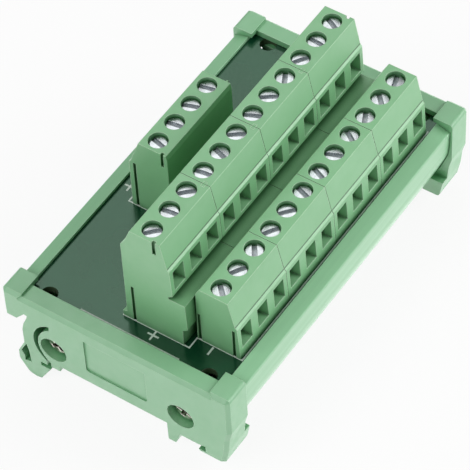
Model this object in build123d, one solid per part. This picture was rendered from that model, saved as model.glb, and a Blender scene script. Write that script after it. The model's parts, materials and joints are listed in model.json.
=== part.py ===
from build123d import *
import os

# A power distribution module for a 35 mm mounting rail: an open carrier profile between two
# moulded end plates holds a circuit board with three rows of rising-cage screw clamps.
# X runs along the rail, Z is up, and the front wire entries face -Y. "Near" is the end at -X.
# Z = 0 is the lowest point of the latch feet, and the origin lies below the middle of the module.
# All sizes are in millimetres.

# Mounting rail that the feet hold
rail_width = 35.0
rail_flange_width = 4.0
rail_thickness = 1.0
rail_side_play = 0.35
rail_slot_play = 0.3
rail_tilt_relief = 0.3
rail_centre_y = -0.8
rail_seat_z = 5.3
rail_side_margin = 6.4

# Clearances
running_clearance = 0.05
fit_clearance = 0.1

# Circuit board
board_top_z = 19.9
board_thickness = 1.6
board_edge_inset = 1.5
board_hole_diameter = 3.2
board_hole_end_inset = 2.6
board_hole_side_inset = 5.1
leg_slot_play = 0.2

# Carrier profile, an extrusion along X
carrier_side_step = 0.5
carrier_waist_inset = 0.3
carrier_waist_drop = 6.0
carrier_base_inset = 2.7
carrier_base_z = 7.6
carrier_wall = 1.2
carrier_base_thickness = 1.5
carrier_lip_width = 2.9
carrier_lip_rise = 0.8
board_shelf_thickness = 1.2
waist_radius = 8.0
base_corner_radius = 1.5
lip_edge_radius = 0.3
channel_outer_radius = 2.5
channel_mouth_width = 1.5

# End plates
plate_wall = 3.8
plate_chamfer = 0.7
plate_corner_radius = 0.8
plate_rise = 1.4
plate_floor_z = 6.85
board_slot_depth = 1.9
block_rise = 0.6
block_depth = 5.6
block_width = 4.1
block_height = 6.8
block_lip_width = 2.75
foot_depth = 7.2
foot_ledge_z = 6.9
label_recess_width = 13.0
label_recess_height = 8.4
label_recess_z = 9.9
label_recess_depth = 0.3
label_corner_radius = 0.7

# Latch arm, from the notched neck under the corner block down to the toe
neck_top_drop = 2.55
neck_recess = 0.85
neck_notch = 0.6
neck_notch_floor = 0.4
neck_notch_height = 0.95
neck_shoulder_height = 2.9
arm_inset = 3.75
arm_top_z = 12.6
arm_bottom_z = 8.8
arm_bend_radius = 3.0
latch_toe_inset = 2.15
latch_toe_z = 3.2
toe_face_height = 2.2
toe_slope_width = 1.9
toe_radius = 0.8
toe_heel_radius = 1.5
foot_lip_width = 1.4
foot_lip_rise = 0.3
latch_shelf_length = 2.0
latch_shelf_play = 0.05

# Slots that free the latch arm, and the pocket for a screwdriver in its toe
arm_slot_inner_radius = 5.9
arm_slot_inner_shift = 2.6
arm_slot_inner_rise = 0.2
arm_slot_outer_radius = 6.3
arm_slot_outer_shift = 2.0
arm_slot_outer_rise = 0.55
arm_slot_start = 0.45
arm_slot_mouth = 0.6
pocket_depth = 3.5
pocket_corner_inset = 2.7
pocket_corner_z = 3.7
pocket_floor_inset = 1.25
pocket_floor_z = 3.3
pocket_step_z = 4.7
pocket_rim_inset = 0.6
pocket_rim_z = 5.8
pocket_top_inset = 2.0
pocket_top_z = 8.5
pocket_back_inset = 2.4
pocket_back_z = 7.1

# Nub, tab and hook under an end plate
nub_gap = 0.35
nub_width = 1.9
nub_z = 5.35
tab_length = 3.1
tab_top_width = 2.75
tab_tip_width = 1.6
tab_draft = 0.05
hook_lip = 1.5
hook_lip_draft = 0.3
hook_lip_thickness = 0.5
hook_slope = 0.3
hook_bottom_z = 2.9
hook_toe_inset = 1.65
hook_toe_radius = 0.8
hook_ledge_inset = 0.9
hook_wall_inset = 0.6
hook_wall_z = 10.1
side_wall_z = 12.6
foot_reach = 3.0

# Screws that hold the end plates, with the angles at which their cross recesses stand
plate_screw_inset = 7.15
plate_screw_z = 10.9
plate_screw_diameter = 3.4
plate_screw_length = 9.5
plate_head_diameter = 5.0
plate_head_height = 1.2
plate_head_chamfer = 0.5
plate_counterbore_diameter = 5.6
plate_counterbore_depth = 2.6
plate_recess_length = 3.2
plate_recess_width = 0.9
plate_recess_depth = 0.8
hook_side_turn = 20
latch_side_turn = 55

# Rows of clamps: pitch, places and heights above the board
pitch = 5.08
block_poles = 3
row_blocks = 4
input_poles = 4
row_stagger = 2.54
row_end_margin = 7.75
front_edge_margin = 2.29
input_edge_margin = 5.7
block_gap = 0.06
row_gap = 0.1
rear_rim = 24.7
front_rim = 13.9
input_rim = 17.6

# Sections of the housings: a reach is measured from the screws' line towards the wire entries,
# and a back is measured away from them
lip_drop = 5.6
lip_step = 0.4
lip_height = 0.5
face_reach = 5.0
front_top_reach = 2.9
front_top_back = 2.9
front_lip_reach = 4.2
front_back = 3.9
front_back_draft = 0.2
front_bevel_drop = 1.5
input_top_reach = 2.6
input_top_back = 3.25
input_lip_reach = 4.6
input_back = 3.6
input_back_draft = 0.1
input_bevel_drop = 1.0
rear_top_reach = 3.14
rear_top_back = 3.0
rear_lip_reach = 4.3
rear_back = 5.2
rear_bevel_drop = 4.7
rear_knee_back = 4.1
rear_knee_drop = 2.9
rear_foot_back = 6.1
rear_foot_height = 1.2
rear_foot_blend = 0.4
ledge_reach = 7.65
ledge_draft = 0.2
ledge_entry_gap = 2.0
ledge_groove_reach = 4.1
ledge_groove_height = 0.5
ledge_groove_slope = 0.7
skirt_reach = 6.6
skirt_height = 3.9
skirt_blend = 0.9

# Interlocking ribs and grooves between neighbouring housings
groove_width = 0.6
groove_depth = 0.55
rib_inset = 0.1
rib_height = 0.4
rear_low_key = 9.3
rear_high_key = 3.0
rear_high_key_reach = 1.9
rear_high_key_width = 0.7
front_key = 7.1
input_low_key = 11.5
input_high_key = 3.2

# One clamp, with drops measured down from the rim of its screw hole
rim_diameter = 3.7
head_diameter = 3.5
head_depth = 0.7
head_height = 1.9
head_chamfer = 0.15
head_slot_width = 0.65
head_slot_depth = 0.9
shaft_diameter = 3.0
shoulder_thickness = 0.9
chamber_partition = 1.02
chamber_reach = 2.45
chamber_floor_drop = 13.1
entry_top_drop = 6.9
entry_height = 4.7
entry_partition = 1.88
entry_throat_width = 2.6
entry_throat_height = 4.0
entry_funnel_depth = 1.5
cage_play = 0.16
cage_length = 4.3
cage_side = 0.6
cage_bottom = 0.8
cage_window = 4.6
cage_top = 1.2
cage_drop = 6.3
bar_width = 2.4
bar_thickness = 0.8
leg_width = 1.0
leg_thickness = 0.6
leg_tail = 2.4

# Angles at which the clamp screws' slots stand, in degrees from the X axis, near end first
rear_turns = (136, 98, 134, 98, 72, 126, 113, 126, 28, 145, 86, 63)
front_turns = (46, 148, 35, 148, 140, 71, 67, 111, 56, 27, 44, 19)
input_turns = (76, 99, 108, 102)

# Derived sizes
module_length = row_blocks * block_poles * pitch + row_stagger + 2 * row_end_margin
module_width = rail_width + 2 * rail_side_margin
carrier_top_width = module_width - 2 * carrier_side_step
carrier_waist_width = carrier_top_width - 2 * carrier_waist_inset
carrier_base_width = carrier_top_width - 2 * carrier_base_inset
carrier_waist_z = board_top_z - carrier_waist_drop
board_width = carrier_top_width - 2 * board_edge_inset
board_bottom_z = board_top_z - board_thickness
plate_outer_x = module_length / 2
carrier_half_length = plate_outer_x - plate_wall - fit_clearance
board_half_length = plate_outer_x - board_slot_depth - fit_clearance
board_hole_x = board_half_length - board_hole_end_inset
board_hole_y = board_width / 2 - board_hole_side_inset
lip_inner_y = carrier_top_width / 2 - carrier_lip_width
lip_top_z = board_top_z + carrier_lip_rise
plate_edge_y = module_width / 2
plate_top_z = board_top_z + plate_rise
block_top_z = plate_top_z + block_rise
block_bottom_z = block_top_z - block_height
block_inner_y = plate_edge_y - block_width
plate_screw_y = carrier_base_width / 2 - plate_screw_inset
neck_top_z = board_top_z - neck_top_drop
arm_outer_y = plate_edge_y - arm_inset
latch_toe_y = plate_edge_y - latch_toe_inset
rail_latch_y = rail_centre_y + (rail_width + rail_side_play) / 2
rail_hook_y = rail_centre_y - (rail_width + rail_side_play) / 2
rail_slot_floor_z = rail_seat_z - rail_thickness - rail_slot_play
latch_shelf_z = rail_seat_z - rail_thickness - latch_shelf_play
shelf_tip_y = rail_latch_y - latch_shelf_length
nub_y = shelf_tip_y - nub_gap
tab_outer_y = rail_centre_y - rail_width / 2 + rail_flange_width + rail_thickness + fit_clearance
front_row_y = front_edge_margin + face_reach - board_width / 2
rear_row_y = front_row_y + front_back + row_gap + ledge_reach
input_row_y = board_width / 2 - input_edge_margin - face_reach
chamber_width = pitch - chamber_partition
cage_width = chamber_width - cage_play
entry_width = pitch - entry_partition
head_bottom_drop = head_depth + head_height
shoulder_drop = head_bottom_drop + running_clearance
chamber_top_drop = shoulder_drop + shoulder_thickness
bar_top_drop = cage_drop + cage_top + running_clearance
leg_inner = chamber_reach + running_clearance
leg_outer = leg_inner + leg_thickness
cut_margin = 1.0


def prism(points, x_start, length, radii=()):
    """A (y, z) outline drawn out along X; radii holds (y, z, radius) for its rounded corners."""
    face = make_face(Polyline(*points, close=True))
    for y, z, radius in radii:
        corner = face.vertices().sort_by_distance((y, z, 0))[0]
        face = fillet(corner, radius)
    return extrude(Plane.YZ.offset(x_start) * face, length)


def box_between(low, high):
    """A box from its lowest to its highest corner."""
    size = [b - a for a, b in zip(low, high)]
    middle = [(a + b) / 2 for a, b in zip(low, high)]
    return Pos(*middle) * Box(*size)


def cylinder_x(radius, x_start, length, y, z):
    """A cylinder along +X."""
    return Pos(x_start + length / 2, y, z) * Rot(0, 90, 0) * Cylinder(radius, length)


def mirrored_outline(half):
    """A closed outline from the points of its +Y half."""
    return half + [(-y, z) for y, z in reversed(half)]


# Carrier profile

def carrier_outline(margin=0.0):
    """Outer outline of the carrier with its open top closed, grown by a margin."""
    return mirrored_outline([
        (carrier_base_width / 2 + margin, carrier_base_z - margin),
        (carrier_waist_width / 2 + margin, carrier_waist_z),
        (carrier_top_width / 2 + margin, board_top_z + margin),
        (lip_inner_y, lip_top_z + margin),
    ])


def carrier_rounds(side):
    """Rounded corners of the carrier's outline on one side."""
    return [
        (side * carrier_base_width / 2, carrier_base_z, base_corner_radius),
        (side * carrier_waist_width / 2, carrier_waist_z, waist_radius),
        (side * carrier_top_width / 2, board_top_z, lip_edge_radius),
    ]


def carrier_envelope(x_start, length, margin=0.0):
    """Solid of the carrier's outer form."""
    rounds = carrier_rounds(1) + carrier_rounds(-1)
    return prism(carrier_outline(margin), x_start, length, rounds)


def carrier_cavity():
    """Outline of the room inside: the trough, the board's grooves and the open top."""
    shelf_z = board_bottom_z - fit_clearance
    groove_y = board_width / 2 + fit_clearance
    return mirrored_outline([
        (carrier_base_width / 2 - carrier_wall, carrier_base_z + carrier_base_thickness),
        (carrier_waist_width / 2 - carrier_wall, carrier_waist_z),
        (groove_y, shelf_z - board_shelf_thickness),
        (lip_inner_y, shelf_z - board_shelf_thickness),
        (lip_inner_y, shelf_z),
        (groove_y, shelf_z),
        (groove_y, board_top_z + fit_clearance),
        (lip_inner_y, board_top_z + fit_clearance),
        (lip_inner_y, lip_top_z + cut_margin),
    ])


def screw_channel(side):
    """A round screw channel on the trough's floor, with a foot as wide as itself."""
    length = 2 * carrier_half_length
    middle_y = side * plate_screw_y
    wall = cylinder_x(channel_outer_radius, -carrier_half_length, length, middle_y, plate_screw_z)
    foot = box_between(
        (-carrier_half_length, middle_y - channel_outer_radius, carrier_base_z),
        (carrier_half_length, middle_y + channel_outer_radius, plate_screw_z))
    return wall + foot


def screw_channel_bore(side):
    """The channel's bore and its open mouth."""
    length = 2 * carrier_half_length
    middle_y = side * plate_screw_y
    radius = plate_screw_diameter / 2 + running_clearance
    bore = cylinder_x(radius, -carrier_half_length, length, middle_y, plate_screw_z)
    mouth = box_between(
        (-carrier_half_length, middle_y - channel_mouth_width / 2, plate_screw_z),
        (carrier_half_length, middle_y + channel_mouth_width / 2,
         plate_screw_z + channel_outer_radius))
    return bore + mouth


def carrier_profile():
    length = 2 * carrier_half_length
    profile = carrier_envelope(-carrier_half_length, length)
    profile -= prism(carrier_cavity(), -carrier_half_length, length)
    for side in (-1, 1):
        profile += screw_channel(side)
    for side in (-1, 1):
        profile -= screw_channel_bore(side)
    return profile


# End plates

def latch_side_outline():
    """The latch side: corner block hanging over the neck, arm, toe and the shelf under the rail."""
    neck_y = arm_outer_y - neck_recess
    return [
        (block_inner_y, plate_top_z),
        (block_inner_y, block_top_z),
        (plate_edge_y, block_top_z),
        (plate_edge_y, block_bottom_z),
        (plate_edge_y - block_lip_width, block_bottom_z),
        (neck_y, neck_top_z),
        (neck_y - neck_notch, neck_top_z - neck_notch / 4),
        (neck_y - neck_notch_floor, neck_top_z - neck_notch_height),
        (neck_y + neck_recess / 2, neck_top_z - neck_shoulder_height),
        (arm_outer_y, arm_top_z),
        (arm_outer_y, arm_bottom_z),
        (latch_toe_y, latch_toe_z + toe_face_height),
        (latch_toe_y, latch_toe_z),
        (latch_toe_y - toe_slope_width, foot_lip_rise),
        (rail_latch_y + foot_lip_width, 0),
        (rail_latch_y + foot_lip_rise, foot_lip_rise),
        (shelf_tip_y, latch_shelf_z),
    ]


def underside_outline():
    """Between the rail's flanges: the nub, the plate's floor and the tab."""
    tab_inner_y = tab_outer_y + tab_top_width
    tab_tip_y = tab_inner_y - tab_draft
    tab_tip_z = rail_seat_z - tab_length
    return [
        (nub_y, nub_z),
        (nub_y - nub_width, nub_z),
        (nub_y - nub_width, plate_floor_z),
        (tab_inner_y, plate_floor_z),
        (tab_tip_y, tab_tip_z),
        (tab_tip_y - tab_tip_width, tab_tip_z),
        (tab_outer_y, rail_seat_z),
    ]


def hook_side_outline():
    """The hook side: the rail's slot, the hook and the side wall up to the corner block."""
    lip_y = rail_hook_y + hook_lip
    return [
        (lip_y, rail_seat_z),
        (rail_hook_y, rail_seat_z + rail_tilt_relief),
        (rail_hook_y, rail_slot_floor_z),
        (lip_y, rail_slot_floor_z),
        (lip_y - hook_lip_draft, rail_slot_floor_z - hook_lip_thickness),
        (rail_hook_y - hook_slope, hook_bottom_z),
        (hook_toe_inset - plate_edge_y, hook_bottom_z),
        (hook_ledge_inset - plate_edge_y, foot_ledge_z),
        (hook_wall_inset - plate_edge_y, hook_wall_z),
        (-plate_edge_y, side_wall_z),
        (-plate_edge_y, block_top_z),
        (-block_inner_y, block_top_z),
        (-block_inner_y, plate_top_z),
    ]


def plate_rounds():
    """Rounded corners of the end plate's outline."""
    return [
        (latch_toe_y - toe_slope_width, foot_lip_rise, toe_heel_radius),
        (latch_toe_y, latch_toe_z, toe_radius),
        (arm_outer_y, arm_top_z, arm_bend_radius),
        (hook_toe_inset - plate_edge_y, hook_bottom_z, hook_toe_radius),
        (plate_edge_y, block_top_z, plate_corner_radius),
        (-plate_edge_y, block_top_z, plate_corner_radius),
    ]


def plate_prism(x_start, length):
    """The end plate's outline drawn out along X."""
    outline = latch_side_outline() + underside_outline() + hook_side_outline()
    return prism(outline, x_start, length, plate_rounds())


def plate_body():
    """The plate's wall, its outer face chamfered along the top and down the hook side."""
    wall = plate_prism(-plate_outer_x, plate_wall)
    outer_edges = wall.faces().sort_by(Axis.X)[0].edges()
    top_z = plate_top_z - plate_corner_radius
    side_y = hook_toe_inset + hook_toe_radius - plate_edge_y
    return chamfer([edge for edge in outer_edges
                    if edge.center().Z > top_z or edge.center().Y < side_y], plate_chamfer)


def plate_flange():
    """The part of the plate that wraps round the carrier's end, with the deeper feet."""
    start = plate_wall - plate_outer_x
    flange = plate_prism(start, block_depth - plate_wall)
    flange -= carrier_envelope(start, block_depth, fit_clearance)
    flange -= box_between((start, -block_inner_y, board_bottom_z),
                          (start + block_depth, block_inner_y, block_top_z + cut_margin))
    feet = plate_prism(start, foot_depth - plate_wall)
    hook_foot = box_between((start, -module_width, -cut_margin),
                            (start + foot_depth, rail_hook_y + foot_reach, foot_ledge_z))
    latch_foot = box_between((start, shelf_tip_y, -cut_margin),
                             (start + foot_depth, module_width, foot_ledge_z))
    return flange + (feet & hook_foot) + (feet & latch_foot)


def latch_slots():
    """The rail's slot and the crescent round the screw boss, joined, which free the latch arm."""
    start = -plate_outer_x - cut_margin
    end = start + foot_depth + 2 * cut_margin
    length = end - start
    outer = cylinder_x(arm_slot_outer_radius, start, length,
                       plate_screw_y - arm_slot_outer_shift, plate_screw_z + arm_slot_outer_rise)
    boss = cylinder_x(arm_slot_inner_radius, start, length,
                      plate_screw_y - arm_slot_inner_shift, plate_screw_z + arm_slot_inner_rise)
    upper = box_between((start, plate_screw_y + arm_slot_start, plate_screw_z),
                        (end, module_width, block_top_z))
    lower = box_between((start, nub_y, rail_seat_z), (end, module_width, plate_screw_z))
    crescent = (outer - boss) & (upper + lower)
    rail = box_between((start, nub_y - fit_clearance, latch_shelf_z), (end, rail_latch_y, rail_seat_z))
    link = box_between((start, nub_y, latch_shelf_z),
                       (end, shelf_tip_y + arm_slot_mouth, plate_screw_z))
    return crescent + rail + (link - boss)


def screwdriver_pocket():
    """The pocket in the latch toe, open on the outer face."""
    return prism([
        (latch_toe_y - pocket_corner_inset, pocket_corner_z),
        (latch_toe_y - pocket_floor_inset, pocket_floor_z),
        (latch_toe_y - pocket_floor_inset, pocket_step_z),
        (latch_toe_y - pocket_rim_inset, pocket_rim_z),
        (latch_toe_y - pocket_top_inset, pocket_top_z),
        (latch_toe_y - pocket_back_inset, pocket_back_z),
    ], -plate_outer_x - cut_margin, pocket_depth + cut_margin)


def plate_screw_cuts(side):
    """The through hole and the counterbore for one screw."""
    hole = cylinder_x(plate_screw_diameter / 2 + running_clearance, -plate_outer_x, foot_depth,
                      side * plate_screw_y, plate_screw_z)
    recess = cylinder_x(plate_counterbore_diameter / 2, -plate_outer_x - cut_margin,
                        plate_counterbore_depth + cut_margin, side * plate_screw_y, plate_screw_z)
    return hole + recess


def label_recess():
    """The shallow label field on the outer face, with rounded lower corners."""
    half = label_recess_width / 2
    top_z = label_recess_z + label_recess_height
    outline = [(-half, label_recess_z), (half, label_recess_z), (half, top_z), (-half, top_z)]
    rounds = [(-half, label_recess_z, label_corner_radius), (half, label_recess_z, label_corner_radius)]
    return prism(outline, -plate_outer_x - cut_margin, label_recess_depth + cut_margin, rounds)


def board_slot():
    """The slot in the plate's inner face that takes the board's end."""
    slot_y = board_width / 2 + fit_clearance
    return box_between(
        (board_slot_depth - plate_outer_x, -slot_y, board_bottom_z - fit_clearance),
        (foot_depth - plate_outer_x, slot_y, board_top_z + fit_clearance))


def near_end_plate():
    plate = plate_body() + plate_flange()
    for cut in (board_slot(), latch_slots(), screwdriver_pocket(), label_recess()):
        plate -= cut
    for side in (-1, 1):
        plate -= plate_screw_cuts(side)
    return plate


def near_plate_screw(side, turn):
    """A cross-recessed screw in the near end plate, its head on the counterbore's floor."""
    seat_x = plate_counterbore_depth - plate_outer_x
    top_x = seat_x - plate_head_height
    y = side * plate_screw_y
    head = cylinder_x(plate_head_diameter / 2, top_x, plate_head_height, y, plate_screw_z)
    rim = head.edges().sort_by(Axis.X)[0]
    head = chamfer(rim, plate_head_chamfer)
    shank = cylinder_x(plate_screw_diameter / 2, seat_x, plate_screw_length, y, plate_screw_z)
    bar = Box(2 * plate_recess_depth, plate_recess_length, plate_recess_width)
    recess = Pos(top_x, y, plate_screw_z) * Rot(turn, 0, 0) * (bar + Rot(90, 0, 0) * bar)
    return head + shank - recess


# Rows of clamps

class Row:
    """Place and form of one row; distances towards its wire entries are called reach."""

    def __init__(self, name, centre_x, screw_y, facing, rim, blocks, block_poles, turns, outline, keys):
        self.name = name
        self.screw_y = screw_y
        self.facing = facing
        self.rim = rim
        self.rim_z = board_top_z + rim
        self.blocks = blocks
        self.block_poles = block_poles
        self.poles = blocks * block_poles
        self.turns = turns
        self.outline = outline
        self.keys = keys
        self.first_x = centre_x - pitch * (self.poles - 1) / 2

    def pole_x(self, pole):
        return self.first_x + pitch * pole

    def y_at(self, reach):
        return self.screw_y + self.facing * reach

    def box(self, pole, half_width, reach, drop):
        """A box at a pole: reach and drop are (from, to) ranges towards the entry and below the rim."""
        ys = sorted(self.y_at(value) for value in reach)
        x = self.pole_x(pole)
        return box_between((x - half_width, ys[0], self.rim_z - drop[1]),
                           (x + half_width, ys[1], self.rim_z - drop[0]))

    def hole(self, pole, radius, top_drop, bottom_drop):
        """A cylinder on a screw's axis, between two drops below the rim."""
        middle_z = self.rim_z - (top_drop + bottom_drop) / 2
        return Pos(self.pole_x(pole), self.screw_y, middle_z) * Cylinder(radius, bottom_drop - top_drop)

    def section(self):
        """The housing's outline of (reach, height above the board) points, as (y, z) points."""
        return [(self.y_at(reach), board_top_z + height) for reach, height in self.outline]


def entry_side(rim, top_reach, lip_reach):
    """The slanting face from the top down to the lip above the wire entries."""
    return [(top_reach, rim), (lip_reach, rim - lip_drop),
            (lip_reach + lip_step, rim - lip_drop - lip_height)]


def plain_outline(rim, top_reach, top_back, lip_reach, back, back_draft, bevel_drop):
    """Section of a low housing with a plain foot and a steep back."""
    return [(-top_back, rim)] + entry_side(rim, top_reach, lip_reach) + [
        (face_reach, 0), (-back, 0), (back_draft - back, rim - bevel_drop)]


def rear_outline():
    """Section of a tall housing: a ledge under its entries and a sloped back."""
    ledge_z = rear_rim - entry_top_drop - entry_height - ledge_entry_gap
    groove_z = ledge_z + ledge_groove_height
    skirt_top_z = skirt_height + skirt_blend
    return [(-rear_top_back, rear_rim)] + entry_side(rear_rim, rear_top_reach, rear_lip_reach) + [
        (face_reach, groove_z + ledge_groove_slope),
        (ledge_groove_reach, groove_z),
        (ledge_groove_reach, ledge_z),
        (ledge_reach - ledge_draft, ledge_z),
        (ledge_reach, skirt_top_z),
        (skirt_reach, skirt_height),
        (skirt_reach, 0),
        (-rear_foot_back, 0),
        (-rear_foot_back, rear_foot_height),
        (-rear_back, rear_foot_height + rear_foot_blend),
        (-rear_back, rear_rim - rear_bevel_drop),
        (-rear_knee_back, rear_rim - rear_knee_drop),
    ]


def entry_funnel(row, pole):
    """The tapered mouth of a wire entry, from the housing's face inwards."""
    x = row.pole_x(pole)
    middle_z = row.rim_z - entry_top_drop - entry_height / 2
    outer = Plane(origin=(x, row.y_at(face_reach), middle_z), x_dir=(1, 0, 0), z_dir=(0, row.facing, 0))
    inner = outer.offset(-entry_funnel_depth)
    mouth = outer * Rectangle(entry_width, entry_height)
    throat = inner * Rectangle(entry_throat_width, entry_throat_height)
    return loft([mouth, throat])


def pole_cuts(row, pole):
    """Everything hollow at one pole: screw bore, clamp chamber, wire entry and contact slot."""
    bore = row.hole(pole, rim_diameter / 2, 0, shoulder_drop)
    neck = row.hole(pole, shaft_diameter / 2 + running_clearance, 0, chamber_top_drop)
    chamber = row.box(pole, chamber_width / 2, (-chamber_reach, chamber_reach),
                      (chamber_top_drop, chamber_floor_drop))
    throat_inset = (entry_height - entry_throat_height) / 2
    throat = row.box(pole, entry_throat_width / 2, (0, face_reach - entry_funnel_depth),
                     (entry_top_drop + throat_inset, entry_top_drop + entry_height - throat_inset))
    leg_slot = row.box(pole, leg_width / 2 + running_clearance,
                       (-leg_outer - running_clearance, -chamber_reach),
                       (bar_top_drop - running_clearance, row.rim + cut_margin))
    return [bore, neck, chamber, throat, leg_slot, entry_funnel(row, pole)]


def end_strip(row, x_start, reach, low, high, width, depth):
    """An upright strip at a housing's end: a groove when cut, a rib when added."""
    ys = sorted((row.y_at(reach - width / 2), row.y_at(reach + width / 2)))
    return box_between((x_start, ys[0], board_top_z + low), (x_start + depth, ys[1], board_top_z + high))


def housing(row, first_pole):
    """One housing with its hollows and its keys: a groove at the near end, a rib at the far end."""
    near_x = row.pole_x(first_pole) - pitch / 2 + block_gap / 2
    length = row.block_poles * pitch - block_gap
    body = prism(row.section(), near_x, length)
    cuts = []
    ribs = []
    for pole in range(first_pole, first_pole + row.block_poles):
        cuts += pole_cuts(row, pole)
    for reach, low, high, width, ribbed in row.keys:
        cuts.append(end_strip(row, near_x, reach, low, high, width, groove_depth))
        if ribbed:
            ribs.append(end_strip(row, near_x + length - rib_height, reach, low + rib_inset,
                                  high - rib_inset, width - 2 * rib_inset, 2 * rib_height))
        else:
            cuts.append(end_strip(row, near_x + length - groove_depth, reach, low, high, width,
                                  groove_depth))
    body -= cuts
    return body + ribs if ribs else body


def clamp_screw(row, pole):
    """A slotted clamp screw, plain where its thread is."""
    head = row.hole(pole, head_diameter / 2, head_depth, head_bottom_drop)
    head = chamfer(head.edges().sort_by(Axis.Z)[-1], head_chamfer)
    slot = Rot(0, 0, row.turns[pole]) * Box(head_diameter, head_slot_width, head_slot_depth)
    slot_z = row.rim_z - head_depth - head_slot_depth / 2
    shaft = row.hole(pole, shaft_diameter / 2, head_bottom_drop, bar_top_drop - running_clearance)
    return head - Pos(row.pole_x(pole), row.screw_y, slot_z) * slot + shaft


def clamp_cage(row, pole):
    """The rising cage in its open position: a frame round the wire with a threaded top."""
    window_drop = cage_drop + cage_top
    bottom_drop = window_drop + cage_window
    frame = row.box(pole, cage_width / 2, (-cage_length / 2, cage_length / 2),
                    (cage_drop, bottom_drop + cage_bottom))
    window = row.box(pole, cage_width / 2 - cage_side, (-cage_length, cage_length),
                     (window_drop, bottom_drop))
    return frame - window - row.hole(pole, shaft_diameter / 2 + running_clearance, cage_drop, window_drop)


def contact(row, pole):
    """The fixed current bar in the cage and its leg, which passes through the board."""
    bar_drops = (bar_top_drop, bar_top_drop + bar_thickness)
    bar = row.box(pole, bar_width / 2, (fit_clearance - chamber_reach, cage_length / 2), bar_drops)
    link = row.box(pole, leg_width / 2, (-leg_outer, 0), bar_drops)
    leg = row.box(pole, leg_width / 2, (-leg_outer, -leg_inner),
                  (bar_top_drop, row.rim + board_thickness + leg_tail))
    return bar + link + leg


# Circuit board

def circuit_board(rows):
    """The board with its corner holes and a plated slot for each contact's leg."""
    board = box_between((-board_half_length, -board_width / 2, board_bottom_z),
                        (board_half_length, board_width / 2, board_top_z))
    corners = [(x, y) for x in (-board_hole_x, board_hole_x) for y in (-board_hole_y, board_hole_y)]
    legs = [(row.pole_x(pole), row.y_at(-(leg_inner + leg_outer) / 2))
            for row in rows for pole in range(row.poles)]
    drills = [Pos(x, y, board_top_z) * Cylinder(board_hole_diameter / 2, 4 * board_thickness)
              for x, y in corners]
    slots = [Pos(x, y, board_top_z) * Box(leg_width + 2 * leg_slot_play, leg_thickness + 2 * leg_slot_play,
                                          4 * board_thickness) for x, y in legs]
    return board - drills - slots


# The rows and the parts

def clamp_rows():
    """The tall rear row, the low front row and the row of four for the supply."""
    rear_keys = [
        (-rear_back + rear_foot_blend + 2 * groove_width, 0, rear_low_key, groove_width, True),
        (rear_high_key_reach, rear_rim - rear_high_key, rear_rim, rear_high_key_width, False)]
    front_keys = [(face_reach - 2 * groove_width, 0, front_key, groove_width, True),
                  (groove_width - front_back, 0, front_key, groove_width, True)]
    input_keys = [
        (face_reach - 2 * groove_width, 0, input_low_key, groove_width, True),
        (-rim_diameter / 2 - groove_width, input_rim - input_high_key, input_rim, groove_width, True)]
    front_outline = plain_outline(front_rim, front_top_reach, front_top_back, front_lip_reach,
                                  front_back, front_back_draft, front_bevel_drop)
    input_outline = plain_outline(input_rim, input_top_reach, input_top_back, input_lip_reach,
                                  input_back, input_back_draft, input_bevel_drop)
    return [
        Row("rear", -row_stagger / 2, rear_row_y, -1, rear_rim, row_blocks, block_poles,
            rear_turns, rear_outline(), rear_keys),
        Row("front", row_stagger / 2, front_row_y, -1, front_rim, row_blocks, block_poles,
            front_turns, front_outline, front_keys),
        Row("input", 0, input_row_y, 1, input_rim, 1, input_poles,
            input_turns, input_outline, input_keys),
    ]


def write(name, solids):
    """One STEP file of one or more separate solids."""
    bodies = [body for item in solids for body in item.solids()]
    export_step(Compound(children=bodies), f"parts/{name}.step")


def write_row(row):
    """A row's housings, screws, cages and contacts."""
    for block in range(row.blocks):
        first = block * row.block_poles
        number = f"_{block + 1}" if row.blocks > 1 else ""
        poles = range(first, first + row.block_poles)
        write(f"{row.name}_block{number}", [housing(row, first)])
        write(f"{row.name}_cages{number}", [clamp_cage(row, pole) for pole in poles])
    for pole in range(row.poles):
        write(f"{row.name}_screw_{pole + 1:02d}", [clamp_screw(row, pole)])
    write(f"{row.name}_contacts", [contact(row, pole) for pole in range(row.poles)])


def main():
    os.makedirs("parts", exist_ok=True)
    rows = clamp_rows()
    near_plate = near_end_plate()
    near_screws = [near_plate_screw(-1, hook_side_turn), near_plate_screw(1, latch_side_turn)]
    write("carrier_profile", [carrier_profile()])
    write("near_end_plate", [near_plate])
    write("far_end_plate", [mirror(near_plate, about=Plane.YZ)])
    write("near_plate_screws", near_screws)
    write("far_plate_screws", [mirror(screw, about=Plane.YZ) for screw in near_screws])
    write("circuit_board", [circuit_board(rows)])
    for row in rows:
        write_row(row)


main()
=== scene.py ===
import json
import math

import bmesh
import bpy
import numpy as np
from mathutils import Matrix, Vector


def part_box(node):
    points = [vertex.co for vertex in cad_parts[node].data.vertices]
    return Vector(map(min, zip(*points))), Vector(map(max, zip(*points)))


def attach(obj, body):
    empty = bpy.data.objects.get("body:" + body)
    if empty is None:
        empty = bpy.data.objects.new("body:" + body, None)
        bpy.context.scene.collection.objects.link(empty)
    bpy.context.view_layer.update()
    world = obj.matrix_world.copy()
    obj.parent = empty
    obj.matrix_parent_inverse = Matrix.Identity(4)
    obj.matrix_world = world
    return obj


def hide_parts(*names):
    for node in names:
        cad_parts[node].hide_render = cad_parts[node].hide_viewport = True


# Looks of a rail-mounted power distribution module: green mouldings and a green extrusion round a
# glossy circuit board with bright slotted clamp screws. X runs along the rail and Z is up. Lengths
# are in metres and angles in degrees, but for the lens and the sensor, which are in millimetres.

MM = 0.001

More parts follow.
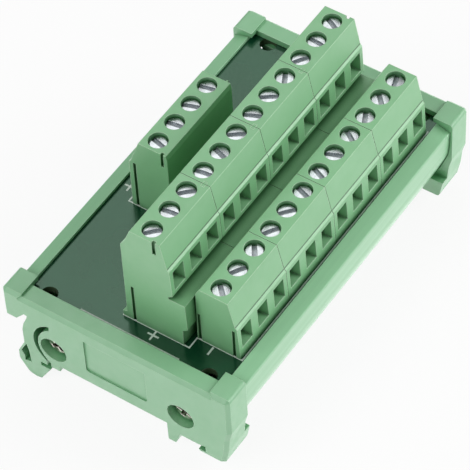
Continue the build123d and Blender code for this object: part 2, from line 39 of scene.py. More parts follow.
# Camera, solved from the photograph: it looks at a point in the middle of the clamps
VIEW_TARGET = (-10.06 * MM, -5.94 * MM, 25.0 * MM)
VIEW_DISTANCE = 528.8 * MM
VIEW_AZIMUTH = -143.643
VIEW_ELEVATION = 50.642
VIEW_ROLL = -3.498
LENS = 231.4
SENSOR = 36.0
NEAREST_SEEN = 0.01
FARTHEST_SEEN = 20.0

# Clamp rows: their pitch, their housings, and the joints between these with the painted shade along them
PITCH = 5.08 * MM
BLOCK_POLES = 3
BLOCK_GAP = 0.06 * MM
JOINT_SHADE = 0.05 * MM
ROW_BLOCKS = {
    "rear": [f"rear_block_{number}" for number in (1, 2, 3, 4)],
    "front": [f"front_block_{number}" for number in (1, 2, 3, 4)],
    "input": ["input_block"],
}

# The lip above the wire entries: how far its top lies below the housing's, the height of its painted
# highlight strip, and the half width of the painted shade line along the crease over it
LIP_DROP = 5.6 * MM
LIP_HEIGHT = 0.5 * MM
LIP_CREASE = 0.1 * MM

# Clamp screws: M3 with crowned cheese heads, and each slot's turn from the rail's direction
HEAD_HEIGHT = 1.9 * MM
HEAD_CROWN = 0.12 * MM
HEAD_CHAMFER = 0.15 * MM
SLOT_WIDTH = 0.9 * MM
SLOT_DEPTH = 0.85 * MM
SHANK_RADIUS = 1.5 * MM
THREAD_PITCH = 0.5 * MM
THREAD_DEPTH = 0.3 * MM
TURNING_MARK_SPACING = 0.16 * MM
SLOT_TURNS = {
    "rear": (136, 98, 134, 98, 72, 126, 113, 126, 28, 145, 86, 63),
    "front": (46, 148, 35, 148, 140, 71, 67, 111, 56, 27, 44, 19),
    "input": (76, 99, 108, 102),
}

# How finely a screw's surface is divided: columns on each cheek of the head and on the slot's floor,
# points along each of them, and rings in a turn of the thread
CHEEK_COLUMNS = 12
FLOOR_COLUMNS = 4
COLUMN_POINTS = 21
THREAD_RINGS = 6

# Points of a piece that lie nearer than this are one
WELD_DISTANCE = 0.002 * MM

# Ribs of the tall housings, which stand in their neighbours' grooves
KEY_REACH = 1.9 * MM
KEY_WIDTH = 0.69 * MM
KEY_HEIGHT = 2.98 * MM
KEY_GROOVE_DEPTH = 0.545 * MM
KEY_DROP = 0.01 * MM

# White ink on the board: lines round the clamps and along the near end, and the poles' signs
INK_HEIGHT = 0.02 * MM
LINE_WIDTH = 0.28 * MM
FRONT_LINE_GAP = 0.3 * MM
INPUT_LINE_GAP = 0.9 * MM
END_LINE_X = -34.75 * MM
END_LINE_Y = (10.2 * MM, -10.6 * MM)
SIGN_WIDTH = 0.36 * MM
PLUS_LENGTH = 2.3 * MM
MINUS_LENGTH = 1.84 * MM
SECOND_STROKE_RISE = 0.002 * MM
REAR_PLUS = (-32.82 * MM, -3.85 * MM)
INPUT_PLUS = (-7.3 * MM, 18.8 * MM)
FRONT_MINUS = (-30.37 * MM, -14.17 * MM)

# Studio: a white floor and tent, of which glossy surfaces mirror a level of their own (1 is plain
# white), and square lamps that face the module, by direction and radiance
FLOOR_REACH = 3.0
FLOOR_OWN_WHITE = 0.9
MIRRORED_FLOOR = 1.8
TENT_LIGHT = 0.12
MIRRORED_TENT = 0.45
SOFTBOX_SIZE = 0.6
SOFTBOX_DISTANCE = 0.9
SOFTBOX_AIM = (0, 0, 20 * MM)
SOFTBOXES = {
    "key_softbox": ((0.6, -0.8, 0.5), 4.7),
    "left_softbox": ((-0.9, 0.3, 0.9), 3.3),
    "front_softbox": ((-0.7, -0.7, 0.5), 0.5),
    "back_softbox": ((0.3, 0.34, 0.85), 1.6),
}

# Node settings: the numbers of a Mix node's two colour sockets, what most of a noise texture's
# values lie between, and the rays that feel out rounded edges and crevices
COLOUR_A = 6
COLOUR_B = 7
NOISE_SPAN = {"From Min": 0.3, "From Max": 0.7}
FEELER_RAYS = 6
WHITE = (1, 1, 1, 1)

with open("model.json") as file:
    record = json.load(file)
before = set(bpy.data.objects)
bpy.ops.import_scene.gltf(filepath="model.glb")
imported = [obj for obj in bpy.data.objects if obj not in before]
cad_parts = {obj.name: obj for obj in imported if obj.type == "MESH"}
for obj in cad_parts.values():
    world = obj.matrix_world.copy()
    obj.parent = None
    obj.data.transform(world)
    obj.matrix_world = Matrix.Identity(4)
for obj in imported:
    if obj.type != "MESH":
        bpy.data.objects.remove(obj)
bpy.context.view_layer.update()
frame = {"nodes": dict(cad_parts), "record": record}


# Materials

def linear(hex_colour):
    """An sRGB hex colour as linear red, green, blue and alpha."""
    parts = [int(hex_colour[i:i + 2], 16) / 255 for i in (1, 3, 5)]
    return [c / 12.92 if c <= 0.04045 else ((c + 0.055) / 1.055) ** 2.4 for c in parts] + [1.0]


def bare_tree(owner):
    """The emptied node tree of a material or a world."""
    owner.use_nodes = True
    owner.node_tree.nodes.clear()
    return owner.node_tree


def add_node(tree, kind, inputs=None, **settings):
    """Adds a node; inputs maps a socket's name or number to a value, an output or a node.

    A node there stands for the first of its outputs that is in use.
    """
    node = tree.nodes.new("ShaderNode" + kind)
    for name, value in settings.items():
        setattr(node, name, value)
    for socket, value in (inputs or {}).items():
        if isinstance(value, bpy.types.Node):
            value = next(output for output in value.outputs if output.enabled)
        if isinstance(value, bpy.types.NodeSocket):
            tree.links.new(value, node.inputs[socket])
        else:
            node.inputs[socket].default_value = value
    return node


def new_material(name):
    """A node material, its tree and its Object coordinates."""
    material = bpy.data.materials.new(name)
    tree = bare_tree(material)
    return material, tree, add_node(tree, "TexCoord").outputs["Object"]


def mottle(tree, coords, size_mm, detail=2.0, stretch=(1, 1, 1)):
    """Noise with blotches of about size_mm, from 0 to 1, which can be stretched along an axis."""
    placed = add_node(tree, "Mapping", {"Vector": coords, "Scale": stretch})
    return add_node(tree, "TexNoise", {"Vector": placed, "Scale": 1 / (size_mm * MM),
                                       "Detail": detail, "Roughness": 0.55})


def edge_highlight_mask(tree, soft):
    """A mask for the painted edge highlight, full where the rounded normal soft turns about 30 degrees away.
    """
    face = add_node(tree, "NewGeometry").outputs["True Normal"]
    agreement = add_node(tree, "VectorMath", {0: soft, 1: face}, operation="DOT_PRODUCT")
    return add_node(tree, "MapRange", {"Value": agreement, "From Min": 0.995, "From Max": 0.85})


def crevice(tree, reach_mm):
    """A mask for painted shade in inner corners and joints, where less light reaches: 1 in the open, lower
    inside.
    """
    open_sky = add_node(tree, "AmbientOcclusion", {"Distance": reach_mm * MM}, samples=FEELER_RAYS)
    return add_node(tree, "MapRange", {"Value": open_sky.outputs["AO"], "From Min": 0.3, "From Max": 0.92})


def lip_highlight_and_shade(tree, coords, body, light, shade, lip_z):
    """Paints light and shade on the lip above the wire entries: a painted highlight strip, and a fine
    painted shade line along its crease at height lip_z.
    """
    height = add_node(tree, "SeparateXYZ", {0: coords}).outputs["Z"]
    face = add_node(tree, "NewGeometry").outputs["True Normal"]
    upward = add_node(tree, "SeparateXYZ", {0: face}).outputs["Z"]
    # Only a face that slants has an upward part between 0.2 and 0.8
    slanted = add_node(tree, "Math", {0: upward, 1: 0.5, 2: 0.3}, operation="COMPARE")
    strip = (light, lip_z - LIP_HEIGHT / 2, LIP_HEIGHT / 2)
    crease = (shade, lip_z, LIP_CREASE)
    for colour, middle, half in (strip, crease):
        band = add_node(tree, "Math", {0: height, 1: middle, 2: half}, operation="COMPARE")
        share = add_node(tree, "Math", {0: band, 1: slanted}, operation="MULTIPLY")
        body = add_node(tree, "Mix", {0: share, COLOUR_A: body, COLOUR_B: linear(colour)}, data_type="RGBA")
    return body


def joint_shade_lines(tree, coords, body, shade, start_x, blocks):
    """Paints shade along the joints between the housings of a row, which starts at start_x."""
    along = add_node(tree, "SeparateXYZ", {0: coords}).outputs["X"]
    from_start = add_node(tree, "Math", {0: along, 1: start_x}, operation="SUBTRACT")
    half_block = BLOCK_POLES * PITCH / 2
    from_joint = add_node(tree, "Math", {0: from_start, 1: half_block}, operation="PINGPONG")
    near = add_node(tree, "Math", {0: from_joint, 1: JOINT_SHADE}, operation="LESS_THAN")
    # The row's two ends are no joints
    half_row = blocks * half_block
    inner = add_node(tree, "Math", {0: from_start, 1: half_row, 2: half_row - PITCH}, operation="COMPARE")
    share = add_node(tree, "Math", {0: near, 1: inner}, operation="MULTIPLY")
    return add_node(tree, "Mix", {0: share, COLOUR_A: body, COLOUR_B: linear(shade)}, data_type="RGBA")


def moulded_polyamide(name, colour, deep, edge, shade, gloss, edge_mm, row=None):
    """Polyamide moulded in a spark-eroded tool: satin, faintly mottled, with a painted highlight on its
    rounded edges.

    Painted shade deepens the green in joints and inner corners, where light reaches only off more green.
    A row's housings also get a painted highlight strip and a painted shade line on their lip, and painted
    shade along their joints.
    """
    material, tree, coords = new_material(name)
    cloud = add_node(tree, "MapRange", {"Value": mottle(tree, coords, 7.0),
                                        "From Min": 0.35, "From Max": 0.7})
    body = add_node(tree, "Mix", {0: cloud, COLOUR_A: linear(colour), COLOUR_B: linear(deep)},
                    data_type="RGBA")
    if row:
        low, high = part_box(ROW_BLOCKS[row][0])
        # Painted highlight strip on the lip, and painted shade along its crease
        body = lip_highlight_and_shade(tree, coords, body, "#9AD2A2", shade, high.z - LIP_DROP)
    soft = add_node(tree, "Bevel", {"Radius": edge_mm * MM}, samples=FEELER_RAYS)
    # Painted highlight: a lighter colour on the rounded edges
    body = add_node(tree, "Mix", {0: edge_highlight_mask(tree, soft), COLOUR_A: body, COLOUR_B: linear(edge)},
                    data_type="RGBA")
    # Painted shade along the joints between the housings
    if row and len(ROW_BLOCKS[row]) > 1:
        body = joint_shade_lines(tree, coords, body, shade, low.x, len(ROW_BLOCKS[row]))
    # Painted shade: a deeper green mixed in at inner corners and joints, where little light reaches
    body = add_node(tree, "Mix", {0: crevice(tree, 2.0), COLOUR_A: linear(shade), COLOUR_B: body},
                    data_type="RGBA")
    polish = add_node(tree, "MapRange", {"Value": mottle(tree, coords, 1.6), **NOISE_SPAN,
                                         "To Min": gloss - 0.05, "To Max": gloss + 0.07})
    # The tool's grain is near 0.08 mm, too fine to show, so it is drawn at 0.3 mm
    grain = add_node(tree, "Bump", {"Height": mottle(tree, coords, 0.3, detail=3.0), "Normal": soft,
                                    "Strength": 0.35, "Distance": 0.012 * MM})
    shader = add_node(tree, "BsdfPrincipled", {"Base Color": body, "Roughness": polish, "Normal": grain,
                                               "IOR": 1.52, "Specular IOR Level": 0.85})
    add_node(tree, "OutputMaterial", {"Surface": shader})
    return material


def extruded_vinyl(name, colour, deep, edge):
    """Rigid vinyl extruded along the rail: satin, with fine die lines along its length."""
    material, tree, coords = new_material(name)
    lines = mottle(tree, coords, 0.5, stretch=(0.01, 1, 1))
    cloud = add_node(tree, "MapRange", {"Value": lines, **NOISE_SPAN})
    body = add_node(tree, "Mix", {0: cloud, COLOUR_A: linear(colour), COLOUR_B: linear(deep)},
                    data_type="RGBA")
    soft = add_node(tree, "Bevel", {"Radius": 0.2 * MM}, samples=FEELER_RAYS)
    # Painted highlight: a lighter colour on the rounded edges
    body = add_node(tree, "Mix", {0: edge_highlight_mask(tree, soft), COLOUR_A: body, COLOUR_B: linear(edge)},
                    data_type="RGBA")
    polish = add_node(tree, "MapRange", {"Value": lines, **NOISE_SPAN, "To Min": 0.33, "To Max": 0.45})
    grooves = add_node(tree, "Bump", {"Height": lines, "Normal": soft,
                                      "Strength": 0.3, "Distance": 0.01 * MM})
    shader = add_node(tree, "BsdfPrincipled", {"Base Color": body, "Roughness": polish, "Normal": grooves,
                                               "IOR": 1.53, "Specular IOR Level": 0.7})
    add_node(tree, "OutputMaterial", {"Surface": shader})
    return material


def solder_mask(name):
    """Dark green solder mask, cured glossy over copper, so it mirrors what stands round it."""
    material, tree, coords = new_material(name)
    cloud = add_node(tree, "MapRange", {"Value": mottle(tree, coords, 9.0),
                                        "From Min": 0.35, "From Max": 0.65})
    mask = add_node(tree, "Mix", {0: cloud, COLOUR_A: linear("#0A3520"), COLOUR_B: linear("#0D3C26")},
                    data_type="RGBA")
    # The board's routed edges and hole walls are bare, matt glass-filled epoxy
    face = add_node(tree, "NewGeometry").outputs["True Normal"]
    upward = add_node(tree, "SeparateXYZ", {0: face}).outputs["Z"]
    level = add_node(tree, "Math", {0: upward}, operation="ABSOLUTE")
    printed = add_node(tree, "MapRange", {"Value": level, "From Min": 0.4, "From Max": 0.6})
    body = add_node(tree, "Mix", {0: printed, COLOUR_A: linear("#3A4A30"), COLOUR_B: mask},
                    data_type="RGBA")
    polish = add_node(tree, "MapRange", {"Value": mottle(tree, coords, 0.5), **NOISE_SPAN,
                                         "To Min": 0.17, "To Max": 0.24})
    bare = add_node(tree, "MapRange", {"Value": printed, "To Min": 0.6, "To Max": 0})
    roughness = add_node(tree, "Math", {0: polish, 1: bare}, operation="ADD")
    soft = add_node(tree, "Bevel", {"Radius": 0.05 * MM}, samples=FEELER_RAYS)
    waves = add_node(tree, "Bump", {"Height": mottle(tree, coords, 2.5), "Normal": soft,
                                    "Strength": 0.12, "Distance": 0.01 * MM})
    # Copper under the mask gives its reflections a green cast
    shader = add_node(tree, "BsdfPrincipled", {"Base Color": body, "Roughness": roughness, "Normal": waves,
                                               "IOR": 1.56, "Specular IOR Level": 0.64,
                                               "Specular Tint": linear("#CFFFE2")})
    add_node(tree, "OutputMaterial", {"Surface": shader})
    return material


def plated_screw(name, first_screw):
    """Nickel-plated steel, turned: bright faces with fine circles, and duller slots."""
    material, tree, coords = new_material(name)
    low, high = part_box(first_screw)
    split = add_node(tree, "SeparateXYZ", {0: coords}).outputs
    # Distances from the axis of the nearest screw of the row
    along = add_node(tree, "Math", {0: split["X"], 1: (low.x + high.x) / 2}, operation="SUBTRACT")
    local_x = add_node(tree, "Math", {0: along, 1: PITCH / 2, 2: -PITCH / 2}, operation="WRAP")
    local_y = add_node(tree, "Math", {0: split["Y"], 1: (low.y + high.y) / 2}, operation="SUBTRACT")
    flat = add_node(tree, "CombineXYZ", {0: local_x, 1: local_y})
    radius = add_node(tree, "VectorMath", {0: flat}, operation="LENGTH")
    circles = add_node(tree, "Math", {0: radius, 1: TURNING_MARK_SPACING}, operation="PINGPONG")
    circle_height = add_node(tree, "MapRange", {"Value": circles, "From Max": TURNING_MARK_SPACING})
    # The slot is milled and dull, so it takes plain light as well as mirroring it
    face = add_node(tree, "MapRange", {"Value": split["Z"], "From Min": high.z - 0.8 * SLOT_DEPTH,
                                       "From Max": high.z - 0.45 * SLOT_DEPTH})
    plating = add_node(tree, "Mix", {0: face, COLOUR_A: linear("#C0C6CC"), COLOUR_B: linear("#BCC1C4")},
                       data_type="RGBA")
    metal = add_node(tree, "MapRange", {"Value": face, "To Min": 0.15, "To Max": 1.0})
    wear = mottle(tree, coords, 0.7, detail=3.0)
    polish = add_node(tree, "MapRange", {"Value": wear, **NOISE_SPAN, "To Min": 0.2, "To Max": 0.34})
    soft = add_node(tree, "Bevel", {"Radius": 0.12 * MM}, samples=FEELER_RAYS)
    circled = add_node(tree, "Bump", {"Height": circle_height, "Normal": soft,
                                      "Strength": 0.1, "Distance": 0.02 * MM})
    worn = add_node(tree, "Bump", {"Height": wear, "Normal": circled,
                                   "Strength": 0.15, "Distance": 0.02 * MM})
    # No two heads stand quite level, so each mirrors a slightly different part of the studio
    tilted = add_node(tree, "Bump", {"Height": mottle(tree, coords, 3.5, detail=0.0), "Normal": worn,
                                     "Strength": 1.0, "Distance": 0.3 * MM})
    # Turning leaves fine circles, which draw highlights out along the head's radius
    round_axis = add_node(tree, "Tangent", direction_type="RADIAL", axis="Z")
    shader = add_node(tree, "BsdfPrincipled", {"Base Color": plating, "Metallic": metal, "Roughness": polish,
                                               "Normal": tilted, "Tangent": round_axis, "Anisotropic": 0.6})
    add_node(tree, "OutputMaterial", {"Surface": shader})
    return material


def zinc_plate(name, colour, cloud_colour, gloss, edge_mm=0.12, recess_shade=None):
    """Zinc or tin plating over pressed steel or brass: greyish, with cloudy gloss, and painted shade in its
    recesses where a shade colour is given.
    """
    material, tree, coords = new_material(name)
    cloud = mottle(tree, coords, 1.2, detail=3.0)
    share = add_node(tree, "MapRange", {"Value": cloud, **NOISE_SPAN})
    plating = add_node(tree, "Mix", {0: share, COLOUR_A: linear(colour), COLOUR_B: linear(cloud_colour)},
                       data_type="RGBA")
    # Painted shade: the given dark colour mixed in at inner corners, where little light reaches
    if recess_shade:
        plating = add_node(tree, "Mix", {0: crevice(tree, 0.6), COLOUR_A: linear(recess_shade), COLOUR_B: plating},
                           data_type="RGBA")
    polish = add_node(tree, "MapRange", {"Value": cloud, **NOISE_SPAN,
                                         "To Min": gloss, "To Max": 1.5 * gloss})
    soft = add_node(tree, "Bevel", {"Radius": edge_mm * MM}, samples=FEELER_RAYS)
    crystals = add_node(tree, "Bump", {"Height": mottle(tree, coords, 0.25), "Normal": soft,
                                       "Strength": 0.2, "Distance": 0.01 * MM})
    shader = add_node(tree, "BsdfPrincipled", {"Base Color": plating, "Roughness": polish,
                                               "Normal": crystals, "Metallic": 1.0})
    add_node(tree, "OutputMaterial", {"Surface": shader})
    return material


def screen_ink(name):
    """White epoxy ink printed through a screen: matt and slightly uneven in cover."""
    material, tree, coords = new_material(name)
    cover = add_node(tree, "MapRange", {"Value": mottle(tree, coords, 0.3), **NOISE_SPAN})
    body = add_node(tree, "Mix", {0: cover, COLOUR_A: linear("#DCE5DE"), COLOUR_B: linear("#BECDC3")},
                    data_type="RGBA")
    roughness = add_node(tree, "MapRange", {"Value": cover, "To Min": 0.5, "To Max": 0.65})
    shader = add_node(tree, "BsdfPrincipled", {"Base Color": body, "Roughness": roughness, "IOR": 1.5})
    add_node(tree, "OutputMaterial", {"Surface": shader})
    return material


def dress_nodes():
    """Gives each CAD node the material of its slot; housings and clamp screws get their row's own."""
    materials = {
        # Greens take body and mottle colours, then a painted edge highlight; polyamides also a painted shade
        # for corners, joints and lip
        "end_plate": moulded_polyamide("pale_green_polyamide", "#87BF92", "#82BB8D", "#BFE5C4",
                                       "#5BA06A", gloss=0.4, edge_mm=0.18),
        "carrier": extruded_vinyl("green_rigid_vinyl", "#90C89B", "#8CC497", "#B4DCBB"),
        "board": solder_mask("green_solder_mask"),
        # The plate screws get a painted shade in their recesses
        "plate_screw": zinc_plate("bright_zinc_screws", "#F0EDE6", "#9A9186", gloss=0.08,
                                  edge_mm=0.4, recess_shade="#3A2E26"),
        "cage": zinc_plate("zinc_plated_steel", "#C9C7C0", "#8E8C86", gloss=0.28),
        "contact": zinc_plate("tinned_brass", "#C8C2AE", "#8E8C86", gloss=0.3),
    }
    for row in SLOT_TURNS:
        # Row housings: body and mottle colours, painted edge highlight, painted shade
        materials["housing", row] = moulded_polyamide(
            f"green_polyamide_{row}", "#82BD8A", "#7DB985", "#C8E9C8", "#1F5F2A",
            gloss=0.42, edge_mm=0.19, row=row)
        materials["clamp_screw", row] = plated_screw(f"plated_{row}_screws", f"{row}_screw_01")
    for part in frame["record"]["subparts"]:
        name, slot = part["node"], part["material_slot"]
        material = materials.get(slot) or materials[slot, name.split("_")[0]]
        for place in frame["nodes"][name].material_slots:
            place.material = material


# Pieces

def grid_quads(rows, columns, closed):
    """Quads of a grid of vertices numbered row by row; closed joins its last column to its first."""
    row = np.arange(rows - 1)[:, None] * columns
    column = np.arange(columns if closed else columns - 1)[None, :]
    after = (column + 1) % columns
    corners = [row + column, row + after, row + after + columns, row + column + columns]
    return np.stack(corners, axis=2).reshape(-1, 4)


def add_piece(name, verts, faces, material, body):
    """A closed piece from its vertices and faces: doubles merged, normals outward, on its body."""
    mesh = bpy.data.meshes.new(name)
    mesh.from_pydata(verts.tolist(), [], faces.tolist())
    work = bmesh.new()
    work.from_mesh(mesh)
    bmesh.ops.remove_doubles(work, verts=work.verts, dist=WELD_DISTANCE)
    bmesh.ops.recalc_face_normals(work, faces=work.faces)
    work.to_mesh(mesh)
    work.free()
    mesh.materials.append(material)
    piece = bpy.data.objects.new(name, mesh)
    bpy.context.scene.collection.objects.link(piece)
    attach(piece, body)
    return piece


# Clamp screws

def head_columns(radius):
    """Distances across the slot, from rim to rim, and whether each column lies on the slot's floor.

    Both cheeks are spaced as sines, closer towards the rim, and a slot's wall is two columns at
    one distance, of which one is down on the floor.
    """
    half = SLOT_WIDTH / 2
    cheek = half + (radius - half) * np.sin(np.linspace(0, math.pi / 2, CHEEK_COLUMNS))
    floor = np.linspace(-half, half, FLOOR_COLUMNS)
    on_floor = np.repeat([False, True, False], [CHEEK_COLUMNS, FLOOR_COLUMNS, CHEEK_COLUMNS])
    return np.concatenate([-cheek[::-1], floor, cheek]), on_floor


def screw_surface(radius, length):
    """Vertices and faces of a slotted cheese-head screw on the Z axis, with its top at height 0.

    The head's top is a grid of chords that run along the slot: a chord at distance t from the axis
    has half the length sqrt(R2 - t2). Its height is minus the crown times (r / R) squared, minus a
    45 degree chamfer near the rim, or the slot's floor. The side and the shank are rings at the
    chords' ends. The thread's radius is the shank's, less its depth times a triangle wave of height
    over pitch less angle over a full turn, which fades in and out over a pitch.
    """
    across, on_floor = head_columns(radius)
    half_chord = np.sqrt(np.maximum(radius ** 2 - across ** 2, 0))
    along = np.sin(np.linspace(-math.pi / 2, math.pi / 2, COLUMN_POINTS))[:, None] * half_chord[None, :]
    reach = np.hypot(along, across[None, :])
    height = -HEAD_CROWN * (reach / radius) ** 2 - np.maximum(reach - (radius - HEAD_CHAMFER), 0)
    height = np.where(on_floor[None, :], -SLOT_DEPTH, height)
    top = np.stack([along, np.broadcast_to(across, along.shape), height], axis=2)

    rim = np.concatenate([top[0], top[-1][::-1]])
    angle = np.arctan2(rim[:, 1], rim[:, 0])
    levels = np.arange(-HEAD_HEIGHT, -length, -THREAD_PITCH / THREAD_RINGS)
    turns = levels[:, None] / THREAD_PITCH - angle[None, :] / (2 * math.pi)
    wave = np.abs(2 * (turns % 1) - 1)
    fade = np.clip(np.minimum(-HEAD_HEIGHT - levels, levels + length) / THREAD_PITCH, 0, 1)
    shank = SHANK_RADIUS - THREAD_DEPTH * wave * fade[:, None]
    radii = np.vstack([np.full((2, len(angle)), radius), shank, np.zeros((1, len(angle)))])
    depths = np.concatenate([[-SLOT_DEPTH, -HEAD_HEIGHT], levels, levels[-1:]])
    rings = np.stack([radii * np.cos(angle), radii * np.sin(angle),
                      np.repeat(depths[:, None], len(angle), axis=1)], axis=2)
    side = np.concatenate([rim[None], rings])
    verts = np.concatenate([top.reshape(-1, 3), side.reshape(-1, 3)])
    faces = np.concatenate([grid_quads(*top.shape[:2], closed=False),
                            grid_quads(*side.shape[:2], closed=True) + along.size])
    return verts, faces


def clamp_screws():
    """A turned screw in the place of each plain one, its slot at the same turn."""
    for row, turns in SLOT_TURNS.items():
        for number, turn in enumerate(turns, 1):
            node = f"{row}_screw_{number:02d}"
            low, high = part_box(node)
            verts, faces = screw_surface((high.x - low.x) / 2, high.z - low.z)
            cos, sin = math.cos(math.radians(turn)), math.sin(math.radians(turn))
            turned = np.stack([cos * verts[:, 0] - sin * verts[:, 1],
                               sin * verts[:, 0] + cos * verts[:, 1], verts[:, 2]], axis=1)
            centre = ((low.x + high.x) / 2, (low.y + high.y) / 2, high.z)
            material = frame["nodes"][node].material_slots[0].material
            piece = add_piece(f"turned_{node}", turned + centre, faces, material, node)
            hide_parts(node)


# Ribs between the housings, and ink on the board

def ribbon(path, width, base_z, height):
    """Vertices and faces of a rib or ink line: a rectangle carried along a path, with mitred corners.

    At each path point the side offset runs along the sum of the two neighbouring normals, scaled so
    that its part along either of them is half the width.
    """
    points = np.array(path, float)
    steps = np.diff(points, axis=0)
    steps /= np.linalg.norm(steps, axis=1)[:, None]
    normals = np.stack([-steps[:, 1], steps[:, 0]], axis=1)
    before = np.vstack([normals[:1], normals])
    both = before + np.vstack([normals, normals[-1:]])
    offset = both / np.sum(both * before, axis=1)[:, None] * width / 2
    profile = ((1, 0), (1, height), (-1, height), (-1, 0))
    edges = [np.column_stack([points + side * offset, np.full(len(points), base_z + rise)])
             for side, rise in profile]
    verts = np.stack(edges, axis=1).reshape(-1, 3)
    first_end = np.arange(4)
    ends = [first_end, first_end[::-1] + len(verts) - 4]
    return verts, np.concatenate([grid_quads(len(points), 4, closed=True), ends])


def housing_keys():
    """The ribs that fill the grooves on top of the tall row, one across each joint."""
    material = frame["nodes"]["rear_block_1"].material_slots[0].material
    screw_low, screw_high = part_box("rear_screw_01")
    key_y = (screw_low.y + screw_high.y) / 2 - KEY_REACH
    for number, block in enumerate(ROW_BLOCKS["rear"][1:], 1):
        block_low, block_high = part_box(block)
        path = [(block_low.x - BLOCK_GAP - KEY_GROOVE_DEPTH, key_y),
                (block_low.x + KEY_GROOVE_DEPTH, key_y)]
        base_z = block_high.z - KEY_DROP - KEY_HEIGHT
        verts, faces = ribbon(path, KEY_WIDTH, base_z, KEY_HEIGHT)
        add_piece(f"rear_key_{number}", verts, faces, material, "module")


def bar(centre, direction, length):
    """The end points of a straight stroke."""
    half = np.array(direction) * length / 2
    return [np.array(centre) - half, np.array(centre) + half]


def board_ink():
    """Outlines round the clamp rows, a line along the near end, and plus and minus signs."""
    board_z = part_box("circuit_board")[1].z
    rear_low, rear_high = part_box("rear_block_1")[0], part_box("rear_block_4")[1]
    front_low, front_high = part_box("front_block_1")[0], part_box("front_block_4")[1]
    input_low, input_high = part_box("input_block")
    between_y = (rear_low.y + front_high.y) / 2
    front_y = front_low.y - FRONT_LINE_GAP
    input_y = input_high.y + INPUT_LINE_GAP
    rows_outline = [(rear_high.x, rear_high.y), (rear_low.x, rear_high.y), (rear_low.x, between_y),
                    (front_low.x, between_y), (front_low.x, front_y), (front_high.x, front_y)]
    input_outline = [(input_high.x, input_y), (input_low.x, input_y), (input_low.x, input_low.y)]
    end_line = [(END_LINE_X, y) for y in END_LINE_Y]
    strokes = [(line, LINE_WIDTH, INK_HEIGHT) for line in (rows_outline, input_outline, end_line)]
    along, across = (1, 0), (0, 1)
    for plus in (REAR_PLUS, INPUT_PLUS):
        strokes.append((bar(plus, across, PLUS_LENGTH), SIGN_WIDTH, INK_HEIGHT))
        strokes.append((bar(plus, along, PLUS_LENGTH), SIGN_WIDTH, INK_HEIGHT + SECOND_STROKE_RISE))
    strokes.append((bar(FRONT_MINUS, along, MINUS_LENGTH), SIGN_WIDTH, INK_HEIGHT))
    verts, faces, count = [], [], 0
    for path, width, height in strokes:
        stroke_verts, stroke_faces = ribbon(path, width, board_z, height)
        verts.append(stroke_verts)
        faces.append(stroke_faces + count)
        count += len(stroke_verts)
    ink = screen_ink("white_screen_ink")
    add_piece("board_ink", np.concatenate(verts), np.concatenate(faces), ink, "module")


# Studio

def pale_floor():
    """A white sweep, mostly white by itself, that keeps the module's soft shadow."""
    mesh = bpy.data.meshes.new("studio_floor")
    corners = [(x * FLOOR_REACH, y * FLOOR_REACH, 0) for x, y in ((-1, -1), (1, -1), (1, 1), (-1, 1))]
    mesh.from_pydata(corners, [], [(0, 1, 2, 3)])
    floor = bpy.data.objects.new("studio_floor", mesh)
    bpy.context.scene.collection.objects.link(floor)
    material = bpy.data.materials.new("studio_white")
    tree = bare_tree(material)
    paint = add_node(tree, "BsdfDiffuse", {"Color": linear("#F4F4F4")})
    rays = add_node(tree, "LightPath").outputs
    level = add_node(tree, "MapRange", {"Value": rays["Is Glossy Ray"], "To Min": 1,
                                        "To Max": MIRRORED_FLOOR})
    glow = add_node(tree, "Emission", {"Color": WHITE, "Strength": level})
    seen = add_node(tree, "Math", {0: rays["Is Camera Ray"], 1: rays["Is Glossy Ray"]}, operation="MAXIMUM")
    share = add_node(tree, "Math", {0: seen, 1: FLOOR_OWN_WHITE}, operation="MULTIPLY")
    surface = add_node(tree, "MixShader", {0: share, 1: paint, 2: glow})
    add_node(tree, "OutputMaterial", {"Surface": surface})
    mesh.materials.append(material)


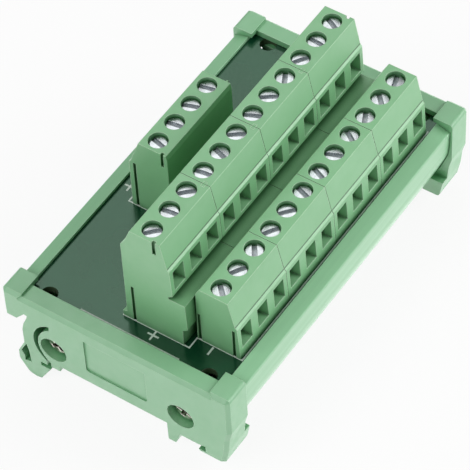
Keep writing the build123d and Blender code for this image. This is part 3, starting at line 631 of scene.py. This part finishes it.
def studio_world():
    """A white tent: faint light all round, a level for glossy surfaces, and plain white for the camera."""
    world = bpy.data.worlds.new("studio_tent")
    tree = bare_tree(world)
    rays = add_node(tree, "LightPath").outputs
    level = add_node(tree, "MapRange", {"Value": rays["Is Glossy Ray"], "To Min": TENT_LIGHT,
                                        "To Max": MIRRORED_TENT})
    shown = add_node(tree, "MapRange", {"Value": rays["Is Camera Ray"], "To Max": 1 - TENT_LIGHT})
    total = add_node(tree, "Math", {0: level, 1: shown}, operation="ADD")
    tent = add_node(tree, "Background", {"Color": WHITE, "Strength": total})
    add_node(tree, "OutputWorld", {"Surface": tent})
    bpy.context.scene.world = world


def softboxes():
    """Square area lamps that face the module; a lamp's power is its radiance times pi times its area."""
    for name, (direction, radiance) in SOFTBOXES.items():
        lamp = bpy.data.lights.new(name, "AREA")
        lamp.size = SOFTBOX_SIZE
        lamp.energy = radiance * math.pi * SOFTBOX_SIZE ** 2
        holder = bpy.data.objects.new(name, lamp)
        outward = Vector(direction).normalized()
        holder.location = Vector(SOFTBOX_AIM) + outward * SOFTBOX_DISTANCE
        holder.rotation_euler = outward.to_track_quat("Z", "Y").to_euler()
        bpy.context.scene.collection.objects.link(holder)


def photo_camera():
    """The photograph's view: a long lens from above the near front corner, with a slight roll."""
    azimuth, elevation, roll = (math.radians(a) for a in (VIEW_AZIMUTH, VIEW_ELEVATION, VIEW_ROLL))
    back = Vector((math.cos(elevation) * math.cos(azimuth), math.cos(elevation) * math.sin(azimuth),
                   math.sin(elevation)))
    level = Vector((0, 0, 1)).cross(back).normalized()
    upright = back.cross(level)
    right = math.cos(roll) * level + math.sin(roll) * upright
    up = back.cross(right)
    data = bpy.data.cameras.new("photo_camera")
    data.lens, data.sensor_width, data.sensor_fit = LENS, SENSOR, "HORIZONTAL"
    data.clip_start, data.clip_end = NEAREST_SEEN, FARTHEST_SEEN
    camera = bpy.data.objects.new("photo_camera", data)
    place = Matrix((right, up, back)).transposed().to_4x4()
    place.translation = Vector(VIEW_TARGET) + VIEW_DISTANCE * back
    camera.matrix_world = place
    bpy.context.scene.collection.objects.link(camera)
    bpy.context.scene.camera = camera


dress_nodes()
clamp_screws()
housing_keys()
board_ink()
pale_floor()
studio_world()
softboxes()
photo_camera()
bpy.context.scene.view_settings.view_transform = "Standard"
